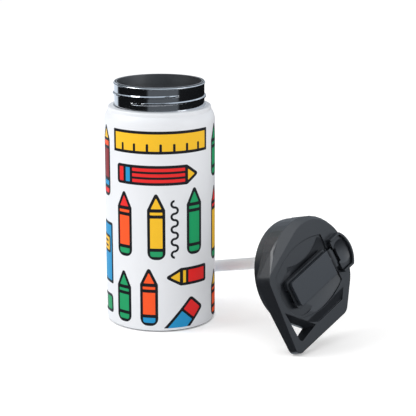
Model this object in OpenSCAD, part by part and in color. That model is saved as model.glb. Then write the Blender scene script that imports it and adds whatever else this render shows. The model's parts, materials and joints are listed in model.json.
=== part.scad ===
// Kids' insulated water bottle: a double-walled steel flask with a screw lid.
// The flask stands open at the origin. Its lid lies beside it on the tip of the
// carry loop, with the straw pointing back behind the flask.
// Millimetres, +Z up, origin on the floor at the centre of the flask's base.

/* [Flask body] */
// Outside diameter of the coated body
body_d = 73; // [62:0.5:90]
// Height from the floor to the rim of the mouth
body_h = 161; // [120:1:240]
// Thickness of the steel sheet
sheet = 0.6; // [0.4:0.1:1]
// Gap between the outer shell and the inner flask
vacuum_gap = 3.2; // [2.6:0.1:5]
// Radius of the rounded edge at the foot
foot_r = 2.4; // [1.5:0.1:5]
// Radius of the rounded shoulder
shoulder_r = 12; // [8:0.5:20]
// Thickness of the flat cap under the base
base_cap_t = 0.8; // [0.5:0.1:1.5]
// Height of the hollow between the base cap and the welded base
base_hollow = 1.8; // [1:0.1:4]

/* [Neck] */
// Outside diameter of the bare steel neck
neck_d = 59.2; // [50:0.2:59.6]
// Height of the bare neck above the collar
neck_h = 15.8; // [14.5:0.1:18]
// Diameter of the coated collar below the neck
collar_d = 68; // [64:0.5:71]
// Height of the collar's straight band
collar_h = 2.6; // [1.5:0.1:5]
// How far the thread stands out of the neck
thread_depth = 1; // [0.6:0.1:1.2]
// Rise of the thread in one turn
thread_pitch = 4.4; // [3:0.1:5]
// Turns of thread on the neck
thread_turns = 1.2; // [1:0.05:1.6]
// Gap between the neck and the inner flask's throat
throat_gap = 0.5; // [0.3:0.1:1.5]

/* [Lid] */
// Outside diameter of the lid's skirt
skirt_d = 68.8; // [66:0.2:72]
// Wall thickness of the lid's skirt
skirt_wall = 1.7; // [1.2:0.1:2.4]
// Height from the lid's open edge to its flat top
lid_h = 17.8; // [17:0.1:26]
// Distance from the lid's centre to the tip of the loop
loop_reach = 54.7; // [50:0.5:66]
// Distance from the lid's centre line to each side corner
corner_reach = 35.9; // [35:0.1:44]
// How far the side corners sit towards the loop
corner_drop = 14.8; // [8:0.1:20]
// Depth of the loop between its hole and its tip
tip_w = 8.8; // [5:0.1:12]
// Thickness of the loop at its tip
loop_t = 6; // [3.5:0.1:8]
// Thickness of the threaded liner's sleeve
liner_wall = 1.2; // [0.9:0.1:1.6]
// Thickness of the neck gasket
gasket_t = 1.2; // [0.8:0.1:2]

/* [Spout] */
// Angle between the spout bar and the line through the loop
spout_turn = 41.5; // [0:0.5:60]
// Sideways offset of the spout bar from the lid's centre
spout_off = 2.6; // [0:0.1:4]
// Width of the spout bar
bar_w = 19.6; // [14:0.2:22]
// Thickness of the spout bar
bar_t = 6; // [5:0.1:8]
// Distance from the lid's centre to the spout's free end
bar_reach = 27; // [20:0.5:29]
// Width of the plate on the spout bar
plate_w = 17; // [12:0.2:20]
// Distance from the lid's centre to the spout's hinge
hinge_reach = 18.8; // [16:0.1:19]
// Diameter of the spout's hinge barrel
barrel_d = 8.8; // [8.6:0.2:10]
// Diameter of the steel hinge pins
pin_d = 2; // [1.6:0.1:2.4]
// Diameter of the drinking channel
channel_d = 4.6; // [3.6:0.1:5]
// Outside diameter of the spout's drinking tube
tube_d = 8; // [7.6:0.1:8.4]
// Furthest point of the thumb rest from the lid's centre
rest_reach = 35; // [34:0.5:40]
// Width of the thumb rest's guard
guard_w = 24; // [22:0.5:30]

/* [Straw] */
// Outside diameter of the straw
straw_d = 8.2; // [6:0.1:9]
// Wall thickness of the straw
straw_wall = 0.7; // [0.5:0.1:1]
// Length of straw below the lid's open edge
straw_len = 139; // [90:1:210]

/* [How the lid lies] */
// Distance of the lid's open edge from the flask's axis, along X
lid_x = 92; // [85:0.5:140]
// Sideways distance of the lid's centre from the flask's axis
lid_y = 34; // [28:0.5:80]
// Upward tilt of the lid's axis
lid_tilt = 15; // [8:0.5:30]
// Turn of the loop away from straight down
lid_turn = 27; // [0:1:40]

/* [Hidden] */
$fn = 128;

// Clearances shared by the parts that meet.
fit_gap = 0.05;        // radial gap of a pin in a turning bore
play = 0.4;            // gap around a part that swings or screws
seam = 0.3;            // gap at a glued or snapped seam
eps = 0.01;            // overlap of joined solids

// Flask levels and radii.
body_r = body_d / 2;
neck_r = neck_d / 2;
collar_r = collar_d / 2;
collar_top = body_h - neck_h;
shoulder_drop = sqrt(pow(shoulder_r, 2) - pow(shoulder_r - (body_r - collar_r), 2));
shoulder_z = collar_top - collar_h - shoulder_drop;
rim_r = 0.5;                                   // how far the rolled rim stands out
throat_r = neck_r - sheet - throat_gap - sheet;
flask_r = body_r - sheet - vacuum_gap;         // outside of the inner flask
base_z = base_cap_t + base_hollow;             // underside of the welded base
getter_t = 1.4;
flask_z = base_z + sheet + vacuum_gap;         // underside of the inner flask
flask_round = 6;
port_r = 3;

// Thread levels.
thread_z = collar_top + 4.5;
thread_start = -83;
thread_step = 6;
thread_sink = 0.3;                             // depth of the thread's root in the wall
thread_foot = 1.1;                             // half width of the thread at its root

// Lid levels, from its open edge.
skirt_r = skirt_d / 2;
roof_z = lid_h - 2.4;                          // underside of the cover's roof
liner_r = skirt_r - skirt_wall - seam;
liner_roof = 0.8;
gasket_z = roof_z - liner_roof - gasket_t;
liner_bore = liner_r - liner_wall;
liner_crest = neck_r + rim_r + 0.25;           // inner radius of the liner's thread
liner_thread_z = 2.4;
cup_r = 27;                                    // outside of the liner's cup
cup_wall = 1.2;
cup_floor = 2.4;
plug_r = cup_r - cup_wall - seam;              // the cover's plug inside the cup
plug_z = cup_floor + cup_wall + 1.6;
plug_roof = 1.8;                               // extra depth of the roof over the cup

// Outlines of the cover as discs [x, y, radius], anticlockwise.
edge_r = skirt_r + 0.4;
corner_r = 8;
tip_r = 4.8;
edge_inset = 0.7;
chord_shift = 7.4;                             // how far the top's back disc leans off the skirt
side_shift = 8;
edge_discs = [[0, 0, edge_r],
              [corner_r - corner_reach, -corner_drop, corner_r],
              [0, tip_r - loop_reach, tip_r],
              [corner_reach - corner_r, -corner_drop, corner_r]];
top_discs = [[side_shift, 0, edge_r - edge_inset - side_shift],
             [chord_shift * sin(20), chord_shift * cos(20), edge_r - edge_inset - chord_shift],
             [corner_r - corner_reach, -corner_drop, corner_r - edge_inset],
             [0, tip_r - loop_reach, tip_r - edge_inset],
             [corner_reach - corner_r, -corner_drop, corner_r - edge_inset]];
loop_root = 6.5;                               // height of the loop's underside at the corners
edge_z = lid_h - 1.2;                          // height of the side wall at the back and the right
left_z = 8.5;                                  // height of the side wall at the left corner
climb = 18.3;                                  // slope at which that wall climbs to the back
climb_turn = 80;
hole_top = -skirt_r - 1.8;
hole_left = -13;
hole_right = 7.5;
hole_tip = tip_w - loop_reach;
flare_h = 5;
flare = 1.35;

// Spout levels, from the lid's open edge.
recess = 0.9;                                  // depth of the lens-shaped recess
bowl_r = 120;
bowl_depth = 3.3;
crease_r = 34;                                 // curve of the crease beside the bar
crease_gap = 2.6;
crease_x = -3;
pocket = 1.6;                                  // depth around the free end
pocket_r = 15;
apron_w = 6.2;
apron_fall = 1.5;
lens_r = 52;
lens_upper = 23;                               // half widths of the recess
lens_lower = 21.5;
lens_mid = -4;
lens_wall = skirt_r - 1.2;
bar_z = lid_h - 1.2;
bar_top = bar_z + bar_t;
bar_rear = hinge_reach - 5.5;
bar_round = 3;
plate_t = 2;
plate_front = bar_reach - 1.8;
pivot_z = lid_h - 2.8;
barrel_r = barrel_d / 2;
barrel_w = 13;
slot_w = bar_w + 2 * play;
well_w = tube_d + 1.2;
tube_end = -14;
mouth_end = -23;
spigot_d = tube_d - 1.8;
spigot_l = 3;
groove_z = lid_h - 0.6;
guard_t = 1.4;
shadow_gap = 0.6;                              // reveal under the plate's edge
guard_top = bar_top - 0.8;
rest_round = 18;
cap_gap = 0.3;                                 // setback of the thumb rest from the bar's slot
dish_r = 29;                                   // ball that dishes the thumb rest
dish_depth = 1.1;
dish_pos = 6.5;
rest_start = hinge_reach + 1.8;
rest_top = pivot_z + hinge_reach - bar_rear - play;
pin_in = channel_d / 2 + 1.2;
pin_out = barrel_w / 2 + play + 2.6;
stem_r = straw_d / 2 - straw_wall - fit_gap;
stem_l = 9;
stem_bore = 4;
notch_w = 4;
vent_pos = -9;
vent_r = 1.6;
vent_cap_r = 4.5;
vent_cap_t = 1.1;

// Height of the lid's centre at which the loop's tip touches the floor.
loop_back = lid_h - loop_t;
tip_inset = edge_inset * (loop_back - left_z) / (lid_h - left_z);
loop_low = cos(lid_turn) * (loop_reach - tip_r) + tip_r - tip_inset;
lid_z = cos(lid_tilt) * loop_low - sin(lid_tilt) * loop_back + fit_gap;

// ---------- helpers ----------

// Direction of the outward normal of the straight run from disc a to disc b.
function run_angle(a, b) =
    let (d = [b[0] - a[0], b[1] - a[1]])
    atan2(d[1], d[0]) - 90 + asin((a[2] - b[2]) / norm(d));

// Outline around discs that are listed anticlockwise, with n steps on each arc.
function outline(discs, n = 36) =
    let (count = len(discs))
    [for (i = [0 : count - 1])
        let (here = discs[i],
             from = run_angle(discs[(i + count - 1) % count], here),
             last = run_angle(here, discs[(i + 1) % count]),
             to = last < from ? last + 360 : last)
        for (k = [0 : n])
            let (a = from + (to - from) * k / n)
            [here[0] + here[2] * cos(a), here[1] + here[2] * sin(a)]];

// Half profile of the flask, drawn in from its outside by inset.
module body_profile(inset) {
    r = body_r - inset;
    round = max(foot_r - inset, 0.4);
    translate([0, round]) square([r, shoulder_z - round]);
    square([r - round, shoulder_z]);
    translate([r - round, round]) circle(round);
    intersection() {
        translate([body_r - shoulder_r, shoulder_z]) circle(shoulder_r - inset);
        translate([0, shoulder_z - eps]) square([r, shoulder_drop + eps]);
    }
    translate([0, shoulder_z - eps]) square([body_r - shoulder_r, shoulder_drop + eps]);
    collar_profile(inset);
}

// The collar's band, with a rounded upper edge.
module collar_profile(inset) {
    r = collar_r - inset;
    top = collar_top - inset;
    low = shoulder_z + shoulder_drop - 1;
    square([r - 1, top]);
    translate([0, low]) square([r, top - 1 - low]);
    translate([r - 1, top - 1]) circle(1);
}

// Helical ridge: root radius r, standing out by depth (inwards if depth is negative).
// It rises out of the wall at its start and sinks into it at its end.
module thread(r, depth, pitch, turns, start) {
    steps = round(turns * 360 / thread_step);
    side = depth > 0 ? 1 : -1;
    points = [for (i = [0 : steps])
        let (a = start + i * thread_step,
             z = pitch * i * thread_step / 360,
             fade = min(1, i / 4, (steps - i) / 4),
             root = r - side * thread_sink,
             sunk = r - side * thread_sink / 2,
             crest = sunk + fade * (r + depth - sunk),
             flat = thread_foot / 3)
        for (p = [[root, -thread_foot], [crest, -flat], [crest, flat], [root, thread_foot]])
            [p[0] * cos(a), p[0] * sin(a), z + p[1]]];
    walls = [for (i = [0 : steps - 1], k = [0 : 3])
        let (a = i * 4 + k, b = i * 4 + (k + 1) % 4)
        side > 0 ? [a, b, b + 4, a + 4] : [a + 4, b + 4, b, a]];
    first = side > 0 ? [3, 2, 1, 0] : [0, 1, 2, 3];
    last = [for (k = [0 : 3]) steps * 4 + (side > 0 ? k : 3 - k)];
    polyhedron(points, concat(walls, [first, last]), convexity = 6);
}

// Places a part of the lid where the lid lies.
module lay_lid() {
    translate([lid_x, lid_y, lid_z])
        rotate([0, 90 - lid_tilt, 0])
            rotate([0, 0, 90 - lid_turn])
                children();
}

// Turns a part of the spout to run along the bar, its free end at negative X.
module along_bar() {
    rotate([0, 0, 90 - spout_turn]) translate([0, -spout_off, 0]) children();
}

// A block from x0 to x1, centred on Y, from z0 to z1.
module block(x0, x1, w, z0, z1) {
    translate([x0, -w / 2, z0]) cube([x1 - x0, w, z1 - z0]);
}

// A rod along the spout's hinge line, from y0 to y1.
module hinge_rod(r, y0, y1) {
    translate([hinge_reach, y0, pivot_z]) rotate([-90, 0, 0]) cylinder(r = r, h = y1 - y0);
}

// Plan of the thumb rest from start on, drawn in from the guard's outside by inset.
module rest_plan(inset, start) {
    intersection() {
        translate([rest_reach - rest_round, 0]) circle(rest_round - inset);
        translate([start, inset - guard_w / 2]) square([rest_reach, guard_w - 2 * inset]);
    }
}

// ---------- flask ----------

module outer_shell() {
    color("whitesmoke") rotate_extrude() difference() {
        body_profile(0);
        body_profile(sheet);
        square([body_r - foot_r - sheet, base_z + sheet]);
        square([neck_r + fit_gap, body_h]);
    }
}

module neck_ring() {
    color("silver") {
        rotate_extrude() {
            translate([neck_r - sheet, collar_top - sheet - 1.4]) square([sheet, neck_h + sheet + 1.4]);
            translate([neck_r - seam, collar_top]) square([1.1, 0.5]);
            difference() {
                translate([neck_r, body_h - 1]) circle(rim_r, $fn = 24);
                translate([0, body_h - 2]) square([neck_r - sheet, 2]);
            }
        }
        translate([0, 0, thread_z]) thread(neck_r, thread_depth, thread_pitch, thread_turns, thread_start);
    }
}

module inner_flask() {
    color("gainsboro") rotate_extrude() difference() {
        flask_profile(0);
        flask_profile(sheet);
    }
}

// Half profile of the inner flask and its throat, drawn in by inset.
module flask_profile(inset) {
    r = flask_r - inset;
    round = flask_round - inset;
    top = shoulder_z - 2;
    out = throat_r + sheet - inset;
    slope = r - out;
    translate([0, flask_z + inset]) square([r - round, top - flask_z]);
    translate([0, flask_z + flask_round]) square([r, top - flask_z - flask_round]);
    translate([r - round, flask_z + flask_round]) circle(round);
    polygon([[0, top - 1], [r, top - 1], [r, top], [out, top + slope * 0.8], [out, top + slope + 3],
             [0, top + slope + 3]]);
    translate([0, top]) square([out, body_h - top + (inset > 0 ? 1 : 0)]);
}

module shell_base() {
    color("silver") difference() {
        translate([0, 0, base_z]) cylinder(r = body_r - foot_r - sheet - fit_gap, h = sheet);
        translate([0, 0, base_z - 1]) cylinder(r = port_r, h = sheet + 2);
    }
}

module base_cap() {
    color("silver") {
        cylinder(r = body_r - foot_r - sheet - fit_gap, h = base_cap_t);
        difference() {
            cylinder(r = body_r - foot_r - sheet - fit_gap, h = base_z - eps);
            translate([0, 0, -1]) cylinder(r = body_r - foot_r - 2 * sheet - fit_gap, h = base_z + 2);
        }
    }
}

module vacuum_seal() {
    color("dimgray") {
        translate([0, 0, base_z - 0.6]) cylinder(r = port_r + 1.5, h = 0.6 - eps);
        translate([0, 0, base_z - 0.6]) cylinder(r = port_r - fit_gap, h = sheet + 0.4);
    }
}

module getter() {
    color("slategray") translate([flask_r / 2, 0, flask_z - getter_t]) cylinder(r = 4, h = getter_t);
}

// ---------- lid ----------

module lid_cover() {
    color("#33373d") lay_lid() difference() {
        union() {
            cylinder(r = skirt_r, h = edge_z);
            cover_top();
            along_bar()
                translate([0, 0, pivot_z]) linear_extrude(guard_top - pivot_z) rest_plan(0, rest_start);
        }
        // room for the liner, with the plug left standing in its cup
        translate([0, 0, -1]) difference() {
            cylinder(r = skirt_r - skirt_wall, h = roof_z + 1);
            translate([0, 0, roof_z - plug_roof + 1]) cylinder(r = plug_r, h = lid_h);
            intersection() {
                translate([0, 0, plug_z + 1]) cylinder(r = plug_r, h = lid_h);
                along_bar() block(-bar_reach, bar_reach, slot_w, 0, lid_h + 2);
            }
        }
        loop_opening();
        loop_underside();
        along_bar() {
            recess_cut();
            apron_cut();
            spout_room();
            rest_room();
        }
    }
}

// Kite-shaped top of the cover. Its side wall is low at the left corner and
// climbs to the back and the right.
module cover_top() {
    hull() {
        difference() {
            translate([0, 0, loop_root]) linear_extrude(edge_z - loop_root) polygon(outline(edge_discs, 20));
            intersection() {
                translate([corner_r - corner_reach, -corner_drop, left_z])
                    rotate([0, 0, climb_turn])
                        rotate([0, -climb, 0])
                            translate([-150, -150, 0]) cube([300, 300, 150]);
                translate([-100, -100, left_z]) cube([200, 200, lid_h]);
            }
        }
        translate([0, 0, lid_h - eps]) linear_extrude(eps) polygon(outline(top_discs, 20));
    }
}

module hole_plan() {
    polygon([[hole_left, hole_top], [hole_right, hole_top], [1, hole_tip], [-1, hole_tip]]);
}

// Three-cornered hole of the carry loop. Its upper side slopes up to the front.
module loop_opening() {
    translate([0, 0, -1]) linear_extrude(lid_h + 2) hole_plan();
    translate([0, hole_tip, lid_h - flare_h])
        linear_extrude(flare_h + eps, scale = flare) translate([0, -hole_tip]) hole_plan();
}

// Slope under the loop, from its tip up to the side corners.
module loop_underside() {
    start = corner_drop + corner_r;
    rise = loop_back - loop_root;
    translate([0, -start, loop_root])
        rotate([-atan(rise / (loop_reach - start)), 0, 0])
            translate([-60, -80, -40]) difference() {
                cube([120, 80, 40]);
                translate([60, 80 + start, -1]) cylinder(r = skirt_r - eps, h = 60);
            }
}

// Plan of the recess: a lens along the bar, cut short inside the skirt.
module lens(h) {
    intersection() {
        translate([lens_mid, lens_r - lens_lower, 0]) cylinder(r = lens_r, h = h);
        translate([lens_mid, lens_upper - lens_r, 0]) cylinder(r = lens_r, h = h);
        translate([0, spout_off, 0]) cylinder(r = lens_wall, h = h);
        translate([-60, -30, 0]) cube([60 + rest_start - 2, 60, h]);
    }
}

// Shallow recess with a bowl in it for the fingers, and a pocket at the free end.
module recess_cut() {
    translate([0, 0, lid_h - recess]) lens(12);
    intersection() {
        difference() {
            translate([0, 0, lid_h - bowl_depth - 1]) lens(12);
            translate([crease_x, bar_w / 2 + crease_gap + crease_r, 0]) cylinder(r = crease_r, h = 60);
        }
        translate([0, 0, lid_h - bowl_depth + bowl_r]) sphere(r = bowl_r, $fn = 200);
    }
    intersection() {
        translate([0, 0, lid_h - pocket]) lens(12);
        translate([pocket_r - lens_wall, -2, 0]) cylinder(r = pocket_r, h = 60);
    }
}

// Sloping apron between the recess and the right arm of the loop.
module apron_cut() {
    near = -lens_lower + 0.7;
    far = near - apron_w;
    intersection() {
        translate([0, near, lid_h])
            rotate([atan(apron_fall / apron_w), 0, 0])
                translate([-60, -40, 0]) cube([120, 40, 20]);
        linear_extrude(60) polygon([[24, near + 8], [11.5, far], [-60, far], [-60, near + 8]]);
        union() {
            translate([0, spout_off, 0]) cylinder(r = liner_r + 0.6, h = 60);
            translate([0, spout_off, 0])
                rotate([0, 0, spout_turn - 90])
                    translate([0, hole_tip, 0])
                        linear_extrude(60) scale(flare) translate([0, -hole_tip]) hole_plan();
        }
    }
}

// Slot, well and hinge seat of the spout.
module spout_room() {
    block(-bar_reach - play - 1, bar_rear + play, slot_w, bar_z - play, 40);
    block(bar_rear, rest_start, slot_w, groove_z, 40);
    block(mouth_end - 0.5, hinge_reach, well_w, pivot_z - well_w / 2, 40);
    block(hinge_reach, hinge_reach + well_w / 2, well_w, pivot_z, 40);
    hinge_rod(barrel_r + play, -barrel_w / 2 - play, barrel_w / 2 + play);
    block(hinge_reach - barrel_r - play, hinge_reach + barrel_r + play, barrel_w + 2 * play, pivot_z, 40);
    hinge_rod(pin_d / 2, -pin_out - 0.2, pin_out + 0.2);
    translate([hinge_reach, 0, 0]) cylinder(r = barrel_r - 0.3, h = pivot_z);
}

// Seat of the thumb rest inside its guard.
module rest_room() {
    translate([0, 0, groove_z]) linear_extrude(20) rest_plan(guard_t, rest_start - eps);
}

module hinge_cap() {
    color("#3a3e45") lay_lid() along_bar() difference() {
        translate([0, 0, groove_z])
            linear_extrude(rest_top - groove_z) rest_plan(guard_t + seam, rest_start + cap_gap);
        block(0, hinge_reach + tube_d / 2 + play, well_w, 0, 40);
        hinge_rod(barrel_r + play, -barrel_w / 2 - play, barrel_w / 2 + play);
        // dished top
        translate([rest_start + dish_pos, 0, rest_top + dish_r - dish_depth]) sphere(r = dish_r);
    }
}

module lid_liner() {
    color("#24272c") lay_lid() difference() {
        union() {
            rotate_extrude() {
                translate([liner_bore, 0.8]) square([liner_wall, roof_z - 0.8 - fit_gap]);
                translate([cup_r - cup_wall, roof_z - liner_roof])
                    square([liner_r - cup_r, liner_roof - fit_gap]);
                translate([cup_r - cup_wall, cup_floor]) square([cup_wall, roof_z - cup_floor - fit_gap]);
                translate([0, cup_floor]) square([cup_r, cup_wall]);
            }
            translate([0, 0, liner_thread_z])
                thread(liner_bore, liner_crest - liner_bore, thread_pitch, thread_turns, thread_start);
            along_bar()
                translate([hinge_reach, 0, -stem_l]) cylinder(r = stem_r, h = stem_l + cup_floor + eps);
        }
        along_bar() {
            translate([hinge_reach, 0, -stem_l - 1]) cylinder(d = stem_bore, h = 40);
            translate([vent_pos, 0, 0]) cylinder(r = vent_r + fit_gap, h = 10);
        }
    }
}

module neck_gasket() {
    color("lightgray") lay_lid() rotate_extrude() difference() {
        translate([cup_r + fit_gap, gasket_z])
            square([liner_bore - cup_r - 2 * fit_gap, gasket_t - fit_gap]);
        translate([cup_r + fit_gap, gasket_z - 0.1]) square([0.8, 0.5]);
    }
}

module vent_valve() {
    color("lightgray") lay_lid() along_bar() translate([vent_pos, 0, 0]) {
        translate([0, 0, cup_floor - vent_cap_t]) {
            cylinder(r = vent_cap_r, h = vent_cap_t - fit_gap);
            cylinder(r = vent_r, h = vent_cap_t + cup_wall + 2 * fit_gap);
        }
        translate([0, 0, cup_floor + cup_wall + fit_gap])
            cylinder(r1 = vent_r + 0.6, r2 = vent_r - 0.4, h = 1);
    }
}

module hinge_pin(side) {
    color("silver") lay_lid() along_bar()
        hinge_rod(pin_d / 2, side > 0 ? pin_in : -pin_out, side > 0 ? pin_out : -pin_in);
}

module hinge_pin_left() { hinge_pin(1); }
module hinge_pin_right() { hinge_pin(-1); }

module spout_seal() {
    color("lightgray") lay_lid() along_bar() difference() {
        translate([hinge_reach, 0, cup_floor + cup_wall])
            cylinder(r = barrel_r - 0.6, h = pivot_z - cup_floor - cup_wall);
        hinge_rod(barrel_r + fit_gap, -20, 20);
        tube(0, hinge_reach, tube_d + 2 * fit_gap);
        translate([hinge_reach, 0, 0]) cylinder(d = stem_bore, h = 20);
    }
}

// ---------- spout ----------

// Plan of a bar from its free end at -front to rear, with rounded free corners.
module bar_plan(front, rear, w, round) {
    translate([round - front, -w / 2]) square([rear + front - round, w]);
    translate([-front, round - w / 2]) square([round + eps, w - 2 * round]);
    for (side = [-1, 1])
        translate([round - front, side * (w / 2 - round)]) circle(round, $fn = 48);
}

module spout_lever() {
    color("#3a3e45") lay_lid() along_bar() difference() {
        union() {
            hinge_rod(barrel_r, -barrel_w / 2, barrel_w / 2);
            translate([0, 0, bar_z]) linear_extrude(bar_t - plate_t - shadow_gap)
                bar_plan(bar_reach, bar_rear, bar_w, bar_round);
            translate([0, 0, bar_z]) linear_extrude(bar_t - plate_t)
                bar_plan(plate_front - shadow_gap, bar_rear - shadow_gap,
                         plate_w - 2 * shadow_gap, bar_round);
            tube(tube_end, hinge_reach, tube_d);
            tube(tube_end - spigot_l, tube_end + eps, spigot_d);
        }
        // bay around the mouthpiece
        difference() {
            block(-bar_reach - 1, tube_end, tube_d + 2 * play, 0, pivot_z + tube_d / 2 + seam);
            tube(tube_end - spigot_l, tube_end, spigot_d);
        }
        tube(-40, hinge_reach, channel_d);
        translate([hinge_reach, 0, 0]) cylinder(d = stem_bore, h = pivot_z);
        hinge_rod(pin_d / 2 + fit_gap, -barrel_w, -pin_in + 0.2);
        hinge_rod(pin_d / 2 + fit_gap, pin_in - 0.2, barrel_w);
    }
}

// Rod along the bar at the height of the drinking channel.
module tube(x0, x1, d) {
    translate([x0, 0, pivot_z]) rotate([0, 90, 0]) cylinder(d = d, h = x1 - x0);
}

module spout_plate() {
    color("#4a4e56") lay_lid() along_bar()
        translate([0, 0, bar_top - plate_t]) linear_extrude(plate_t)
            bar_plan(plate_front, bar_rear - 0.2, plate_w, bar_round - 1);
}

module mouthpiece() {
    color("gainsboro") lay_lid() along_bar() difference() {
        union() {
            tube(mouth_end + 2, tube_end - seam, tube_d);
            translate([mouth_end + 2, 0, pivot_z]) nose();
        }
        tube(-40, 0, channel_d - 1.4);
        tube(tube_end - spigot_l - seam, 0, spigot_d + 2 * fit_gap);
    }
}

// Rounded nose of the mouthpiece, along negative X.
module nose() {
    rotate([0, -90, 0]) rotate_extrude() {
        square([tube_d / 2 - 2, 2]);
        intersection() {
            translate([tube_d / 2 - 2, 0]) circle(2, $fn = 48);
            square([tube_d, 2]);
        }
    }
}

// ---------- straw ----------

module straw() {
    color("white", 0.6) lay_lid() along_bar() translate([hinge_reach, 0, 0]) difference() {
        translate([0, 0, -straw_len]) cylinder(d = straw_d, h = straw_len + cup_floor - seam);
        translate([0, 0, -straw_len - 1]) cylinder(r = straw_d / 2 - straw_wall, h = straw_len + 20);
        // notch that keeps the end open on the flask's floor
        translate([0, -straw_d, -straw_len])
            rotate([0, 45, 0])
                translate([-notch_w / 2, 0, -notch_w / 2]) cube([notch_w, 2 * straw_d, notch_w]);
    }
}

outer_shell();
neck_ring();
inner_flask();
shell_base();
base_cap();
vacuum_seal();
getter();
lid_cover();
hinge_cap();
lid_liner();
neck_gasket();
vent_valve();
hinge_pin_left();
hinge_pin_right();
spout_seal();
spout_lever();
spout_plate();
mouthpiece();
straw();
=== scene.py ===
"""Kids' insulated water bottle: finishes, printed coat and studio stage.

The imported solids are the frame. The steel and plastic parts keep their shape and
get their finishes here, and the printed pattern is laid on the coat as thin ink.
"""

import json
import math

import bmesh
import bpy
from bpy.props import FloatProperty, FloatVectorProperty, PointerProperty
from mathutils import Matrix, Vector

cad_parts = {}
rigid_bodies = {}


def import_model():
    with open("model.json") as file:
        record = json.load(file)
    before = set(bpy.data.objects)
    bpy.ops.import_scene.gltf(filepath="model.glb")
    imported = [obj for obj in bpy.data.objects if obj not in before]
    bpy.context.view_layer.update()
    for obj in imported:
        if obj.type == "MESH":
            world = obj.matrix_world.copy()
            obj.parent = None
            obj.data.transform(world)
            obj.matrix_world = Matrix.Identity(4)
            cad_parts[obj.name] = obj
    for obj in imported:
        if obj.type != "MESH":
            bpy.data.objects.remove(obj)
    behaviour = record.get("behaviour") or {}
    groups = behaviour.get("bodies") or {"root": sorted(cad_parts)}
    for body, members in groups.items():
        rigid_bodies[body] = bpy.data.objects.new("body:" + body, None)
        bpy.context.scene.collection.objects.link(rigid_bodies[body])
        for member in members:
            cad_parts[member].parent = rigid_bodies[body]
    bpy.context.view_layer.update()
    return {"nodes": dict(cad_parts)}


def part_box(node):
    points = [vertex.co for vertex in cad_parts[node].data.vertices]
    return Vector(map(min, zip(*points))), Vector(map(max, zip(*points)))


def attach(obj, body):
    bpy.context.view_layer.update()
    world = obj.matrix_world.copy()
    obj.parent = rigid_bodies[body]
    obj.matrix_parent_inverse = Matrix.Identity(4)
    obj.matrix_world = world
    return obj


bl_info = {
    "name": "Kids Water Bottle",
    "version": (1, 0, 0),
    "blender": (4, 5, 0),
    "location": "View3D > Sidebar > Bottle",
    "description": "Finishes, printed coat and stage of an insulated bottle with a straw lid",
    "category": "Object",
}

for old in list(bpy.data.objects):
    bpy.data.objects.remove(old)
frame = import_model()

MM = 0.001
BODY_LOW, BODY_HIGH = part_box("outer_shell")
BODY_R = (BODY_HIGH.y - BODY_LOW.y) / 2 / MM
FOOT_CLEAR = 2.6  # the print starts above the rounded foot, in mm
FACING = -40.3  # angle of the side that the print is centred on, in degrees
CRISP = 30.0  # edges bent more than this stay sharp, in degrees

# ---------- shader building ----------

# Sockets of a Mix node when it mixes colours.
MIX_FACTOR, MIX_LOW, MIX_HIGH, MIX_RESULT = 0, 6, 7, 2


class Value:
    """One shader socket that can be used in Python arithmetic."""

    def __init__(self, tree, socket):
        self.tree = tree
        self.socket = socket

    def math(self, operation, *values):
        return self.tree.node("Math", {"operation": operation}, [self, *values])

    def __add__(self, other):
        return self.math("ADD", other)

    def __sub__(self, other):
        return self.math("SUBTRACT", other)

    def __rsub__(self, other):
        return self.tree.node("Math", {"operation": "SUBTRACT"}, [other, self])

    def __mul__(self, other):
        return self.math("MULTIPLY", other)

    __radd__ = __add__
    __rmul__ = __mul__


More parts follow.
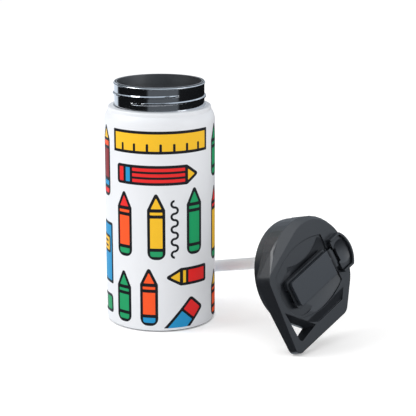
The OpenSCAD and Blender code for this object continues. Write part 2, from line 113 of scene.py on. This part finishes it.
class Tree:
    """A node tree of a material or of the world, filled through one method."""

    def __init__(self, owner):
        owner.use_nodes = True
        self.owner = owner
        self.nodes = owner.node_tree.nodes
        self.links = owner.node_tree.links
        self.nodes.clear()

    def node(self, kind, settings=None, values=None, output=0):
        """Adds a node, sets it up, joins its inputs and returns one output."""
        made = self.nodes.new("ShaderNode" + kind)
        for key, setting in (settings or {}).items():
            if key == "stops":
                self.stops(made.color_ramp, setting)
            else:
                setattr(made, key, setting)
        pairs = values.items() if isinstance(values, dict) else enumerate(values or [])
        for key, value in pairs:
            if isinstance(value, Value):
                self.links.new(value.socket, made.inputs[key])
            else:
                made.inputs[key].default_value = value
        return Value(self, made.outputs[output]) if len(made.outputs) else None

    @staticmethod
    def stops(ramp, wanted):
        while len(ramp.elements) < len(wanted):
            ramp.elements.new(1)
        for element, (place, level) in zip(ramp.elements, wanted):
            element.position = place
            element.color = opaque(grey(level))

    def noise(self, scale, detail=3.0, rough=0.5):
        """Noise on the object's own coordinates, with one scale or one for each axis."""
        stretch = scale if isinstance(scale, tuple) else (scale, scale, scale)
        place = self.node("TexCoord", output="Object")
        spread = self.node("Mapping", values={"Vector": place, "Scale": stretch})
        sizes = {"Vector": spread, "Scale": 1.0, "Detail": detail, "Roughness": rough}
        return self.node("TexNoise", values=sizes, output="Fac")

    def step(self, value, low, high, start=0.0, end=1.0):
        """Smooth change from start to end as value goes from low to high."""
        ends = {"Value": value, "From Min": low, "From Max": high, "To Min": start, "To Max": end}
        return self.node("MapRange", {"interpolation_type": "SMOOTHSTEP"}, ends)

    def mix(self, factor, low, high, blend="MIX"):
        """Colour from low to high as factor goes from 0 to 1."""
        kinds = {"data_type": "RGBA", "blend_type": blend}
        ends = {MIX_FACTOR: factor, MIX_LOW: opaque(low), MIX_HIGH: opaque(high)}
        return self.node("Mix", kinds, ends, output=MIX_RESULT)

    def bump(self, height, strength, distance, edge=0.0):
        """Normal with a fine relief, and with softened edges of that radius."""
        values = {"Height": height, "Strength": strength, "Distance": distance}
        if edge:
            values["Normal"] = self.node("Bevel", {"samples": 4}, {"Radius": edge})
        return self.node("Bump", values=values)

    def surface(self, values):
        """Ends the tree in one principled shader."""
        shader = self.node("BsdfPrincipled", values=values)
        self.node("OutputMaterial", values={"Surface": shader})
        return self.owner


def opaque(colour):
    """The link as it is, or a plain colour with its alpha added."""
    return colour if isinstance(colour, Value) else (*colour, 1)


def grey(level):
    return (level, level, level)


def linear(colour):
    """Scene-linear colour from the 0 to 255 values of a screen."""
    parts = [c / 255 for c in colour]
    return tuple(c / 12.92 if c <= 0.04045 else ((c + 0.055) / 1.055) ** 2.4 for c in parts)


def shade(colour, factor):
    return tuple(c * factor for c in colour)


def material(name):
    return Tree(bpy.data.materials.new(name))


FOOT_EDGE = (0.0006, 0.0010)  # heights between which the near-black band at the foot turns to coat, in m
# Near-black colour of the band painted along the foot of the coat.
FOOT_DARK_BAND = (0.05, 0.052, 0.056)


def coat_finish(colour):
    """Powder coat: satin white with a faint orange peel, and a near-black metallic band painted at
    its foot.
    """
    tree = material("satin_coat")
    peel = tree.noise(1500, detail=2)
    cloud = tree.noise((40, 40, 25), detail=3)
    height = tree.node("SeparateXYZ", values=[tree.node("TexCoord", output="Object")], output="Z")
    # A near-black, metallic band is painted on the lowest millimetre of the coat.
    dark_foot = 1 - tree.step(height, *FOOT_EDGE)
    painted = tree.mix(cloud, shade(colour, 0.97), colour)
    base = tree.mix(dark_foot, painted, FOOT_DARK_BAND)
    rough = 0.36 + cloud * 0.08
    normal = tree.bump(peel, 0.10, 0.00003)
    return tree.surface({"Base Color": base, "Roughness": rough, "Normal": normal,
                         "Metallic": dark_foot * 0.8, "Coat Weight": 0.15, "Coat Roughness": 0.25})


def ink_finish(name, colour):
    """Baked ink: a little glossier than the coat, with a fine mottle."""
    tree = material("ink_" + name)
    mottle = tree.noise(900, detail=2)
    cloud = tree.noise(60, detail=2)
    base = tree.mix(mottle * 0.6 + cloud * 0.4, shade(colour, 0.9), colour)
    rough = 0.42 + mottle * 0.10
    return tree.surface({"Base Color": base, "Roughness": rough, "Specular IOR Level": 0.3,
                         "Normal": tree.bump(mottle, 0.08, 0.00002)})


def steel_finish(name, colour, rough, lines, across):
    """Turned steel: lines run round the axis, with noise scales along and across it."""
    tree = material(name)
    turned = tree.noise((across, across, lines), detail=4, rough=0.6)
    smudge = tree.noise(70, detail=3)
    base = tree.mix(turned, shade(colour, 0.9), colour)
    spread = rough + turned * (rough * 0.5) + smudge * (rough * 0.4)
    return tree.surface({"Base Color": base, "Metallic": 1.0, "Roughness": spread,
                         "Normal": tree.bump(turned, 0.10, 0.00002)})


RING_SCALE = 2600.0  # noise scale of the lathe rings


def ringed_steel_finish(name, colour, rough):
    """Steel of the base: rings around the middle, left by the lathe."""
    tree = material(name)
    place = tree.node("TexCoord", output="Object")
    flat = tree.node("VectorMath", {"operation": "MULTIPLY"}, [place, (1, 1, 0)])
    radius = tree.node("VectorMath", {"operation": "LENGTH"}, [flat], output="Value")
    along = tree.node("CombineXYZ", values={"X": radius * RING_SCALE})
    sizes = {"Vector": along, "Scale": 1.0, "Detail": 3.0}
    rings = tree.node("TexNoise", values=sizes, output="Fac")
    base = tree.mix(rings, shade(colour, 0.85), colour)
    spread = rough + rings * 0.12
    return tree.surface({"Base Color": base, "Metallic": 1.0, "Roughness": spread,
                         "Normal": tree.bump(rings, 0.15, 0.00002)})


def plastic_finish(name, colour, rough, edge):
    """Moulded plastic: spark-eroded grain, soft edges and faint handling marks."""
    tree = material(name)
    grain = tree.noise(2600, detail=3, rough=0.6)
    rubbed = tree.noise(45, detail=4, rough=0.6)
    base = tree.mix(grain * 0.5 + rubbed * 0.5, shade(colour, 0.86), shade(colour, 1.12))
    spread = rough + rubbed * 0.10 + grain * 0.06
    return tree.surface({"Base Color": base, "Roughness": spread, "Specular IOR Level": 0.75,
                         "Normal": tree.bump(grain, 0.12, 0.00003, edge)})


def silicone_finish(colour):
    """Food-grade silicone: matte, slightly see-through and dusty."""
    tree = material("silicone")
    dust = tree.noise(1800, detail=2)
    cloud = tree.noise(120, detail=2)
    base = tree.mix(cloud, shade(colour, 0.9), colour)
    return tree.surface({"Base Color": base, "Roughness": 0.5 + dust * 0.15,
                         "Subsurface Weight": 0.3, "Subsurface Scale": 0.002,
                         "Normal": tree.bump(dust, 0.08, 0.00002)})


def straw_finish(colour):
    """Natural polypropylene: milky, with drawn lines along the tube."""
    tree = material("milky_straw")
    drawn = tree.noise((60, 2200, 2200), detail=2)
    base = tree.mix(drawn, shade(colour, 0.94), colour)
    return tree.surface({"Base Color": base, "Roughness": 0.28 + drawn * 0.10,
                         "Transmission Weight": 0.06, "IOR": 1.49,
                         "Normal": tree.bump(drawn, 0.08, 0.00002)})


def dress(finish, *names):
    """Gives a finish to nodes of the frame."""
    for name in names:
        for place in frame["nodes"][name].material_slots:
            place.material = finish


# ---------- printed coat ----------


SPREAD = 0.12  # how far the black ink spreads past the drawn edge, in mm
TRIM = 0.18  # how far each colour stops short of the drawn edge, in mm
LIFT = 0.02  # step between films that lie on each other, in mm
STRIP = 1.5  # width of the strips that follow the curve of the body, in mm
CORNER = 0.3  # rounding of an inner corner, in mm
SHOULDER = 1.6  # rounding where a barrel turns into its nose, in mm
NEAR = 1e-5  # points closer than this to a cut lie on it, in mm


class Print:
    """Ink tiles on the unrolled coat: x runs round the body and y runs up, in mm."""

    def __init__(self, line, film):
        self.line = line  # width of the black outline
        self.film = film  # thickness of one ink film
        self.sheets = {}

    def tile(self, ink, level, place, corners, rounding):
        """A flat tile with rounded corners: one radius, or one for each corner."""
        bm = bmesh.new()
        verts = [bm.verts.new((x, y, 0)) for x, y in corners]
        bm.faces.new(verts)
        radii = rounding if isinstance(rounding, (list, tuple)) else [rounding] * len(verts)
        starts = [arc_start(vert, radius) for vert, radius in zip(verts, radii)]
        for vert, start in zip(verts, starts):
            if start:
                bmesh.ops.bevel(bm, geom=[vert], offset=start, offset_type="OFFSET",
                                segments=8, profile=0.5, affect="VERTICES", material=-1)
        bmesh.ops.transform(bm, matrix=place, verts=bm.verts)
        self.keep(ink, level, bm)

    def box(self, ink, level, place, x0, x1, y0, y1, rounding=CORNER):
        grow = SPREAD if ink == "black" else 0
        x0, x1, y0, y1 = x0 - grow, x1 + grow, y0 - grow, y1 + grow
        self.tile(ink, level, place, [(x0, y0), (x1, y0), (x1, y1), (x0, y1)], rounding)

    def wave(self, ink, place, radius, width, count):
        """A scribble of half rings along x, joined end to end."""
        bm = bmesh.new()
        for i in range(count):
            side = 1 if i % 2 else -1
            centre = Vector((radius * (2 * i + 1), 0, 0))
            reaches = (radius - width / 2, radius + width / 2)
            ends = [bm.verts.new(centre - Vector((reach, 0, 0))) for reach in reaches]
            edge = bm.edges.new(ends)
            bmesh.ops.spin(bm, geom=[*ends, edge], cent=centre, axis=(0, 0, 1),
                           angle=side * math.pi, steps=14, dvec=(0, 0, 0))
        bmesh.ops.remove_doubles(bm, verts=bm.verts, dist=1e-4)
        bmesh.ops.recalc_face_normals(bm, faces=bm.faces)
        if bm.faces[0].normal.z < 0:
            bmesh.ops.reverse_faces(bm, faces=bm.faces)
        bmesh.ops.transform(bm, matrix=place, verts=bm.verts)
        self.keep(ink, 0, bm)

    def keep(self, ink, level, bm):
        """Lifts a flat tile to its level and adds it to the sheet of its ink."""
        bmesh.ops.translate(bm, vec=(0, 0, self.film / 2 + level * LIFT), verts=bm.verts)
        cut = bpy.data.meshes.new("cut")
        bm.to_mesh(cut)
        bm.free()
        self.sheets.setdefault(ink, bmesh.new()).from_mesh(cut)
        bpy.data.meshes.remove(cut)


def arc_start(vert, radius):
    """Distance from a corner at which an arc of that radius starts."""
    ends = [edge.other_vert(vert).co - vert.co for edge in vert.link_edges]
    half = ends[0].angle(ends[1]) / 2
    return min(radius / math.tan(half), 0.49 * min(end.length for end in ends))


def laid(u, z, turn=0.0):
    """Place of an icon: its foot at u and z, turned anticlockwise by turn degrees."""
    return Matrix.Translation((u, z, 0)) @ Matrix.Rotation(math.radians(turn), 4, "Z")


def stick(sheet, place, width, length, nose, cells, nose_ink, foot_round):
    """Pencil or crayon along x: a barrel with coloured cells and a pointed nose."""
    half = width / 2
    neck = length - nose
    rim = half + SPREAD
    tip = length + 2 * SPREAD
    outline = [(-SPREAD, -rim), (neck, -rim), (tip, 0), (neck, rim), (-SPREAD, rim)]
    rounds = [foot_round, SHOULDER, SHOULDER, SHOULDER, foot_round]
    sheet.tile("black", 0, place, outline, rounds)
    inner = half - sheet.line
    foot_inner = max(foot_round - sheet.line, CORNER)
    bar_gap = 1.5
    for start, end, ink, bars in cells:
        first = foot_inner if start <= sheet.line else CORNER
        start, end = start + TRIM, end - TRIM
        tall = (2 * inner - bar_gap * (bars - 1)) / bars
        for bar in range(bars):
            low = bar * (tall + bar_gap) - inner
            corners = [(start, low), (end, low), (end, low + tall), (start, low + tall)]
            sheet.tile(ink, 1, place, corners, [first, CORNER, CORNER, first])
    base = neck + 0.5 + TRIM
    apex = length - sheet.line * math.hypot(nose, half) / half
    spread = (apex - base) * half / nose
    corners = [(base, -spread), (apex, 0), (base, spread)]
    sheet.tile(nose_ink, 1, place, corners, [CORNER, 0.4, CORNER])


def crayon(sheet, u, z, width, length, inks, turn=90.0):
    """Wax crayon with its round foot at u and z: inks of nose, band, barrel and foot."""
    nose = 12.0
    neck = length - nose
    nose_ink, band, barrel, foot = inks
    cells = [(sheet.line, 5.6, foot, 1), (7.4, neck - 5.4, barrel, 1),
             (neck - 3.6, neck - 1.4, band, 1)]
    stick(sheet, laid(u, z, turn), width, length, nose, cells, nose_ink, width * 0.42)


def pencil(sheet, u, z, turn=0.0, inks=("red", "blue", "red", "yellow")):
    """Striped pencil lying along x, with its rubber at u and z."""
    rubber, ring, barrel, nose_ink = inks
    cells = [(sheet.line, 5.4, rubber, 1), (6.9, 10.5, ring, 1), (11.9, 47.6, barrel, 3)]
    stick(sheet, laid(u, z, turn), 12.8, 57.7, 8.8, cells, nose_ink, 2.2)


def upright_pencil(sheet, u, z, inks):
    """Short pencil standing on its round rubber, with two bands."""
    rubber, ring, barrel, band, nose_ink = inks
    cells = [(sheet.line, 5.2, rubber, 1), (6.9, 10.4, ring, 1), (12.2, 31.7, barrel, 1),
             (33.4, 37.0, band, 1)]
    stick(sheet, laid(u, z, 90), 11.4, 48.4, 10.4, cells, nose_ink, 4.6)


def stub(sheet, u, z, turn, inks):
    """Short stub of a crayon with a square foot."""
    barrel, band, nose_ink = inks
    cells = [(sheet.line, 15.4, barrel, 1), (16.9, 19.3, band, 1)]
    stick(sheet, laid(u, z, turn), 11.8, 31.4, 10.7, cells, nose_ink, 1.6)


def ruler(sheet, u, z, width=13.8):
    """Ruler with its lower left corner at u and z, and ticks along its lower edge."""
    place = laid(u, z)
    line = sheet.line
    length, pitch, tick, tall, ends = 69.0, 8.8, 1.4, 6.4, 8
    sheet.box("black", 0, place, 0, length, 0, width, 0.4)
    sheet.box("yellow", 1, place, line, length - line, line, width - line)
    count = int((length - ends) / pitch) + 1
    first = (length - pitch * (count - 1) - tick) / 2
    for i in range(count):
        left = first + i * pitch
        sheet.box("black", 2, place, left, left + tick, 0.4, tall, [0, 0, 0.7, 0.7])


def rubber(sheet, u, z, turn, width, length, split, inks):
    """Two-coloured rubber along x, from u and z at the middle of its end."""
    place = laid(u, z, turn)
    line = sheet.line
    half = width / 2
    low, high = line - half, half - line
    sheet.box("black", 0, place, 0, length, -half, half, 2.4)
    sheet.box(inks[0], 1, place, line, split - line / 2, low, high, [1, CORNER, CORNER, 1])
    sheet.box(inks[1], 1, place, split + line / 2, length - line, low, high,
              [CORNER, 1, 1, CORNER])


def book(sheet, u, z):
    """Exercise book with a blank label, its lower left corner at u and z."""
    place = laid(u, z)
    line = sheet.line
    wide, tall, spine, fold = 26.0, 41.4, 2.2, 1.4
    sheet.box("black", 0, place, 0, wide, 0, tall, 1.2)
    sheet.box("blue", 1, place, line + spine + fold, wide - line, line, tall - line, 0.4)
    sheet.box("blue", 1, place, line, line + spine, line, tall - line, 0.4)
    sheet.box("black", 2, place, 7.6, 22.6, 20.4, 32.2, 1.6)
    sheet.box("yellow", 3, place, 9.1, 21.1, 21.9, 30.7, 0.8)
    for low in (23.9, 27.3):
        sheet.box("black", 4, place, 11.4, 18.8, low, low + 1.3, 0.5)


def scribble(sheet, u, z, loops):
    """A plain wavy line that runs up the coat from u and z."""
    sheet.wave("black", laid(u, z, 90), 2.1, 1.5, loops)


def print_front(sheet):
    """The icons on the side that faces the viewer."""
    ruler(sheet, -34.0, 119.4, width=14.6)
    pencil(sheet, -30.8, 105.3)
    crayon(sheet, -25.4, 50.3, 11.5, 44.8, ("red", "orange", "orange", "green"))
    crayon(sheet, -2.8, 49.5, 11.6, 45.2, ("yellow", "yellow", "yellow", "green"))
    scribble(sheet, 9.3, 50.6, 9)
    crayon(sheet, 23.7, 51.5, 11.7, 46.0, ("green", "green", "green", "green"))
    crayon(sheet, -26.6, 5.1, 11.6, 36.4, ("green", "green", "green", "green"))
    crayon(sheet, -8.0, 4.4, 11.8, 40.2, ("orange", "orange", "orange", "blue"))
    stub(sheet, 34.0, 37.2, 180, ("red", "yellow", "yellow"))
    rubber(sheet, 25.6, 19.0, 228, 13.4, 34, 10.8, ("red", "blue"))


def print_sides(sheet):
    """The icons on the left and the right flank."""
    upright_pencil(sheet, -45.8, 87.3, ("red", "blue", "dark_red", "orange", "yellow"))
    book(sheet, -64.0, 28.2)
    rubber(sheet, -55.0, 13.4, 3, 12.4, 16.4, 6.0, ("white", "green"))
    crayon(sheet, 48.0, 99.6, 11.6, 36.4, ("green", "green", "green", "green"))
    crayon(sheet, 48.4, 42.7, 11.8, 51.6, ("red", "red", "yellow", "green"))
    crayon(sheet, 48.2, 3.6, 11.8, 33.0, ("yellow", "orange", "orange", "orange"))


def print_back(sheet):
    """The icons round the back, in the same set."""
    ruler(sheet, 60.0, 119.9)
    pencil(sheet, 121.0, 102.7, 180, ("green", "orange", "blue", "yellow"))
    crayon(sheet, 141.0, 92.0, 11.6, 42.6, ("blue", "blue", "blue", "red"))
    crayon(sheet, 158.6, 90.0, 11.6, 44.6, ("orange", "yellow", "orange", "green"))
    crayon(sheet, 66.5, 50.4, 11.5, 43.4, ("blue", "blue", "blue", "yellow"))
    crayon(sheet, 84.0, 50.4, 11.5, 43.4, ("orange", "orange", "yellow", "red"))
    crayon(sheet, 101.5, 50.4, 11.5, 43.4, ("green", "yellow", "green", "green"))
    upright_pencil(sheet, 119.0, 45.4, ("orange", "yellow", "blue", "red", "yellow"))
    crayon(sheet, 136.5, 45.0, 11.6, 43.4, ("red", "red", "red", "blue"))
    crayon(sheet, 154.0, 43.0, 11.6, 43.4, ("yellow", "yellow", "yellow", "orange"))
    crayon(sheet, 66.5, 5.0, 11.6, 39.4, ("red", "orange", "red", "green"))
    rubber(sheet, 78.0, 13.5, 40, 13.2, 30, 18.0, ("blue", "red"))
    stub(sheet, 98.4, 12.4, 0, ("green", "yellow", "yellow"))
    stub(sheet, 131.4, 34.4, 180, ("blue", "orange", "orange"))
    crayon(sheet, 141.0, 5.0, 11.6, 32.0, ("green", "green", "yellow", "green"))
    stub(sheet, 156.4, 36.4, -90, ("red", "yellow", "yellow"))


def cut(bm, point, normal, clear=False):
    """Cuts a sheet along a plane, and clears what lies behind it if asked to."""
    bmesh.ops.bisect_plane(bm, geom=[*bm.verts, *bm.edges, *bm.faces], dist=NEAR,
                           plane_co=point, plane_no=normal, clear_inner=clear)


def roll_on(name, bm, film):
    """Cuts a flat sheet of tiles into strips and bends it round the coat."""
    low = min(v.co.x for v in bm.verts)
    high = max(v.co.x for v in bm.verts)
    for i in range(math.floor(low / STRIP), math.ceil(high / STRIP) + 1):
        cut(bm, (i * STRIP, 0, 0), (1, 0, 0))
    cut(bm, (0, FOOT_CLEAR, 0), (0, 1, 0), clear=True)
    bmesh.ops.solidify(bm, geom=list(bm.faces), thickness=film)
    for vert in bm.verts:
        angle = math.radians(FACING) + vert.co.x / BODY_R
        reach = BODY_R + vert.co.z
        vert.co = (reach * math.cos(angle) * MM, reach * math.sin(angle) * MM, vert.co.y * MM)
    bmesh.ops.recalc_face_normals(bm, faces=list(bm.faces))
    return piece(name, bm)


def piece(name, bm):
    """Turns a bmesh into an object with smooth faces and crisp edges."""
    mesh = bpy.data.meshes.new(name)
    bm.to_mesh(mesh)
    bm.free()
    mesh.shade_smooth()
    mesh.set_sharp_from_angle(angle=math.radians(CRISP))
    made = bpy.data.objects.new(name, mesh)
    bpy.context.scene.collection.objects.link(made)
    return made


# ---------- settings ----------


def colour_prop(name, description, screen):
    return FloatVectorProperty(name=name, description=description, subtype="COLOR", size=3,
                               min=0, max=1, default=linear(screen))


def size_prop(name, description, default):
    return FloatProperty(name=name, description=description, unit="LENGTH", subtype="DISTANCE",
                         precision=5, min=0, default=default)


class BottleSettings(bpy.types.PropertyGroup):
    """Sizes and colours of the finishes and the print, and the studio's settings."""

    line: size_prop("Outline", "Width of the black outlines of the print", 0.00175)
    film: size_prop("Ink film", "Thickness of one film of ink", 0.00005)
    cover_edge: size_prop("Cover edges", "Radius of the cover's softened edges", 0.0006)
    spout_edge: size_prop("Spout edges", "Radius of the spout's softened edges", 0.0004)
    coat: colour_prop("Coat", "Colour of the powder coat", (226, 228, 232))
    steel: colour_prop("Steel", "Colour of the polished steel", (214, 216, 219))
    cover: colour_prop("Cover", "Colour of the lid's cover and spout", (27, 30, 35))
    plate: colour_prop("Plate", "Colour of the plate on the spout", (36, 40, 46))
    liner: colour_prop("Liner", "Colour of the lid's threaded liner", (22, 24, 27))
    silicone: colour_prop("Silicone", "Colour of the seals and the mouthpiece", (205, 209, 212))
    straw: colour_prop("Straw", "Colour of the straw", (250, 251, 252))
    black: colour_prop("Black ink", "Outlines of the print", (26, 29, 35))
    red: colour_prop("Red ink", "Red of the print", (232, 30, 30))
    orange: colour_prop("Orange ink", "Orange of the print", (250, 84, 22))
    yellow: colour_prop("Yellow ink", "Yellow of the print", (244, 190, 28))
    green: colour_prop("Green ink", "Green of the print", (20, 158, 98))
    blue: colour_prop("Blue ink", "Blue of the print", (20, 146, 202))
    dark_red: colour_prop("Dark red ink", "Dark red of the print", (142, 26, 32))
    white: colour_prop("White ink", "White of the print", (240, 241, 243))
    key_light: FloatProperty(name="Key light", unit="POWER", default=5.0, min=0,
                             description="Strength of the light from the upper left")
    fill_light: FloatProperty(name="Fill light", unit="POWER", default=1.0, min=0,
                              description="Strength of the light from the right")
    room_light: FloatProperty(name="Room light", default=0.80, min=0,
                              description="Brightness of the white room")
    lens: FloatProperty(name="Lens", unit="CAMERA", default=124.1, min=1,
                        description="Focal length of the camera")


# ---------- operators ----------


class BOTTLE_OT_coat(bpy.types.Operator):
    """Gives the flask its satin white coat"""

    bl_idname = "bottle.coat"
    bl_label = "Coat"

    def execute(self, context):
        dress(coat_finish(context.scene.bottle.coat), "outer_shell")
        return {"FINISHED"}


class BOTTLE_OT_steel(bpy.types.Operator):
    """Finishes the neck, the inner flask and the base in steel"""

    bl_idname = "bottle.steel"
    bl_label = "Steel"

    def execute(self, context):
        colour = context.scene.bottle.steel
        polished = steel_finish("polished_steel", colour, rough=0.07, lines=2400, across=12)
        # The inner flask's steel is painted darker than the neck's, as painted shade inside the
        # mouth; its rougher drawn finish is its own.
        drawn = steel_finish("drawn_steel", shade(colour, 0.62), rough=0.24, lines=1500, across=20)
        ringed = ringed_steel_finish("ringed_steel", shade(colour, 0.8), rough=0.28)
        dress(polished, "neck_ring", "hinge_pin_left", "hinge_pin_right")
        dress(drawn, "inner_flask")
        dress(ringed, "base_cap", "shell_base", "vacuum_seal", "getter")
        return {"FINISHED"}


class BOTTLE_OT_print(bpy.types.Operator):
    """Prints the school icons on the coat, one film for each ink"""

    bl_idname = "bottle.print"
    bl_label = "Print"

    def execute(self, context):
        settings = context.scene.bottle
        sheet = Print(settings.line / MM, settings.film / MM)
        print_front(sheet)
        print_sides(sheet)
        print_back(sheet)
        for ink in sorted(sheet.sheets):
            film = roll_on("print_" + ink, sheet.sheets[ink], sheet.film)
            film.data.materials.append(ink_finish(ink, getattr(settings, ink)))
            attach(film, "flask")
        return {"FINISHED"}


class BOTTLE_OT_lid(bpy.types.Operator):
    """Finishes the lid's cover, liner and seals"""

    bl_idname = "bottle.lid"
    bl_label = "Lid"

    def execute(self, context):
        settings = context.scene.bottle
        cover = plastic_finish("cover_plastic", settings.cover, 0.27, settings.cover_edge)
        liner = plastic_finish("liner_plastic", settings.liner, 0.42, 0.0)
        silicone = silicone_finish(settings.silicone)
        dress(cover, "lid_cover", "hinge_cap")
        dress(liner, "lid_liner")
        dress(silicone, "neck_gasket", "vent_valve", "spout_seal", "mouthpiece")
        return {"FINISHED"}


class BOTTLE_OT_spout(bpy.types.Operator):
    """Finishes the spout's lever and its plate"""

    bl_idname = "bottle.spout"
    bl_label = "Spout"

    def execute(self, context):
        settings = context.scene.bottle
        edge = settings.spout_edge
        dress(plastic_finish("lever_plastic", settings.cover, 0.27, edge), "spout_lever")
        dress(plastic_finish("plate_plastic", settings.plate, 0.24, edge), "spout_plate")
        return {"FINISHED"}


class BOTTLE_OT_straw(bpy.types.Operator):
    """Finishes the milky straw"""

    bl_idname = "bottle.straw"
    bl_label = "Straw"

    def execute(self, context):
        dress(straw_finish(context.scene.bottle.straw), "straw")
        return {"FINISHED"}


VIEW_TURN = math.radians(47.7)  # heading of the camera
VIEW_DROP = math.radians(14.18)  # how far it looks down
VIEW_PLACE = Vector((0.7093, -0.6023, 0.310))
SENSOR = 36  # width of the camera's sensor, in mm
TOWARDS = Vector((math.sin(VIEW_TURN), -math.cos(VIEW_TURN), 0))  # from the bottle to the camera
RIGHTWARDS = Vector((math.cos(VIEW_TURN), math.sin(VIEW_TURN), 0))
LIT_POINT = (0.03, 0.01, 0.07)  # where the lights are aimed
FLOOR_R = 8.0
FLOOR_GLOW = 0.22

# What gloss sees round the room, as (heading, brightness). Heading 0.5 is the side
# where the camera stands, and more is further to the right.
WALLS = [(0.0, 1.0), (0.13, 1.0), (0.15, 0.01), (0.415, 0.01),
         (0.43, 0.14), (0.635, 0.14), (0.65, 0.01), (1.0, 0.01)]
PANELS = [(0.0, 0.45), (0.10, 0.30), (0.16, 0.02), (0.40, 0.03),
          (0.60, 0.35), (0.70, 0.95), (0.85, 0.90), (1.0, 0.45)]
WALL_TINT = (0.88, 0.97, 1.08)
CEILING = (1.00, 1.12, 1.25)
WHITE = (1, 1, 1)


def aim(thing, place, target):
    thing.location = place
    thing.rotation_euler = (Vector(target) - Vector(place)).to_track_quat("-Z", "Y").to_euler()
    bpy.context.scene.collection.objects.link(thing)


def area_light(name, right, near, up, size, power):
    """Softbox placed to the right, nearer and up, as the first camera sees it."""
    light = bpy.data.lights.new(name, "AREA")
    light.shape = "RECTANGLE"
    light.size, light.size_y = size
    light.energy = power
    place = RIGHTWARDS * right + TOWARDS * near + Vector((0, 0, up))
    aim(bpy.data.objects.new(name, light), place, LIT_POINT)


def studio_world(strength):
    """White room. Gloss sees dark walls, with panels above them and a bright ceiling."""
    world = bpy.data.worlds.new("white_room")
    bpy.context.scene.world = world
    tree = Tree(world)
    way = tree.node("TexCoord", output="Generated")
    dot = {"operation": "DOT_PRODUCT"}
    near = tree.node("VectorMath", dot, [way, tuple(TOWARDS)], output="Value")
    right = tree.node("VectorMath", dot, [way, tuple(RIGHTWARDS)], output="Value")
    up = tree.node("SeparateXYZ", values=[way], output="Z")
    turn = right.math("ARCTAN2", near) * (0.5 / math.pi) + 0.5
    walls = tree.node("ValToRGB", {"stops": WALLS}, [turn])
    panels = tree.node("ValToRGB", {"stops": PANELS}, [turn])
    around = tree.mix(tree.step(up, -0.12, 0.12), walls, panels)
    tinted = tree.mix(1.0, around, WALL_TINT, blend="MULTIPLY")
    gloss = tree.mix(tree.step(up, 0.30, 0.75), tinted, CEILING)
    path_gloss = tree.node("LightPath", output="Is Glossy Ray")
    path_camera = tree.node("LightPath", output="Is Camera Ray")
    plain = tree.mix(path_camera, grey(strength), WHITE)
    colour = tree.mix(path_gloss, plain, gloss)
    shader = tree.node("Background", values={"Color": colour, "Strength": 1.0})
    tree.node("OutputWorld", values={"Surface": shader})


def floor_finish():
    """Matte white sweep with a trace of paper grain."""
    tree = material("white_sweep")
    grain = tree.noise(300, detail=2)
    base = tree.mix(grain, grey(0.97), WHITE)
    return tree.surface({"Base Color": base, "Roughness": 0.9, "Specular IOR Level": 0.0,
                         "Emission Color": opaque(WHITE), "Emission Strength": FLOOR_GLOW,
                         "Normal": tree.bump(grain, 0.02, 0.00005)})


class BOTTLE_OT_stage(bpy.types.Operator):
    """Sets up the white floor, the studio lights and the camera"""

    bl_idname = "bottle.stage"
    bl_label = "Stage"

    def execute(self, context):
        settings = context.scene.bottle
        bm = bmesh.new()
        bmesh.ops.create_circle(bm, cap_ends=True, segments=96, radius=FLOOR_R)
        floor = piece("floor", bm)
        floor.data.materials.append(floor_finish())
        floor.visible_glossy = False
        studio_world(settings.room_light)
        area_light("key_light", -0.75, 0.10, 0.80, (0.5, 0.5), settings.key_light)
        area_light("fill_light", 0.80, 0.45, 0.45, (0.4, 0.4), settings.fill_light)
        camera = bpy.data.cameras.new("camera")
        camera.lens = settings.lens
        camera.sensor_width = SENSOR
        holder = bpy.data.objects.new("camera", camera)
        forward = -TOWARDS * math.cos(VIEW_DROP) - Vector((0, 0, math.sin(VIEW_DROP)))
        aim(holder, VIEW_PLACE, VIEW_PLACE + forward)
        context.scene.camera = holder
        context.scene.view_settings.view_transform = "Standard"
        return {"FINISHED"}


OPERATORS = (BOTTLE_OT_stage, BOTTLE_OT_coat, BOTTLE_OT_steel, BOTTLE_OT_print, BOTTLE_OT_lid,
             BOTTLE_OT_spout, BOTTLE_OT_straw)


class BOTTLE_PT_panel(bpy.types.Panel):
    """Sidebar panel with the settings and one button for each group"""

    bl_label = "Bottle"
    bl_idname = "BOTTLE_PT_panel"
    bl_space_type = "VIEW_3D"
    bl_region_type = "UI"
    bl_category = "Bottle"

    def draw(self, context):
        settings = context.scene.bottle
        for name in BottleSettings.__annotations__:
            self.layout.prop(settings, name)
        for operator in OPERATORS:
            self.layout.operator(operator.bl_idname)


CLASSES = (BottleSettings, *OPERATORS, BOTTLE_PT_panel)


def register():
    for cls in CLASSES:
        bpy.utils.register_class(cls)
    bpy.types.Scene.bottle = PointerProperty(type=BottleSettings)


def unregister():
    del bpy.types.Scene.bottle
    for cls in reversed(CLASSES):
        bpy.utils.unregister_class(cls)


def main():
    register()
    for operator in OPERATORS:
        group, name = operator.bl_idname.split(".")
        getattr(getattr(bpy.ops, group), name)()


if __name__ == "__main__":
    main()
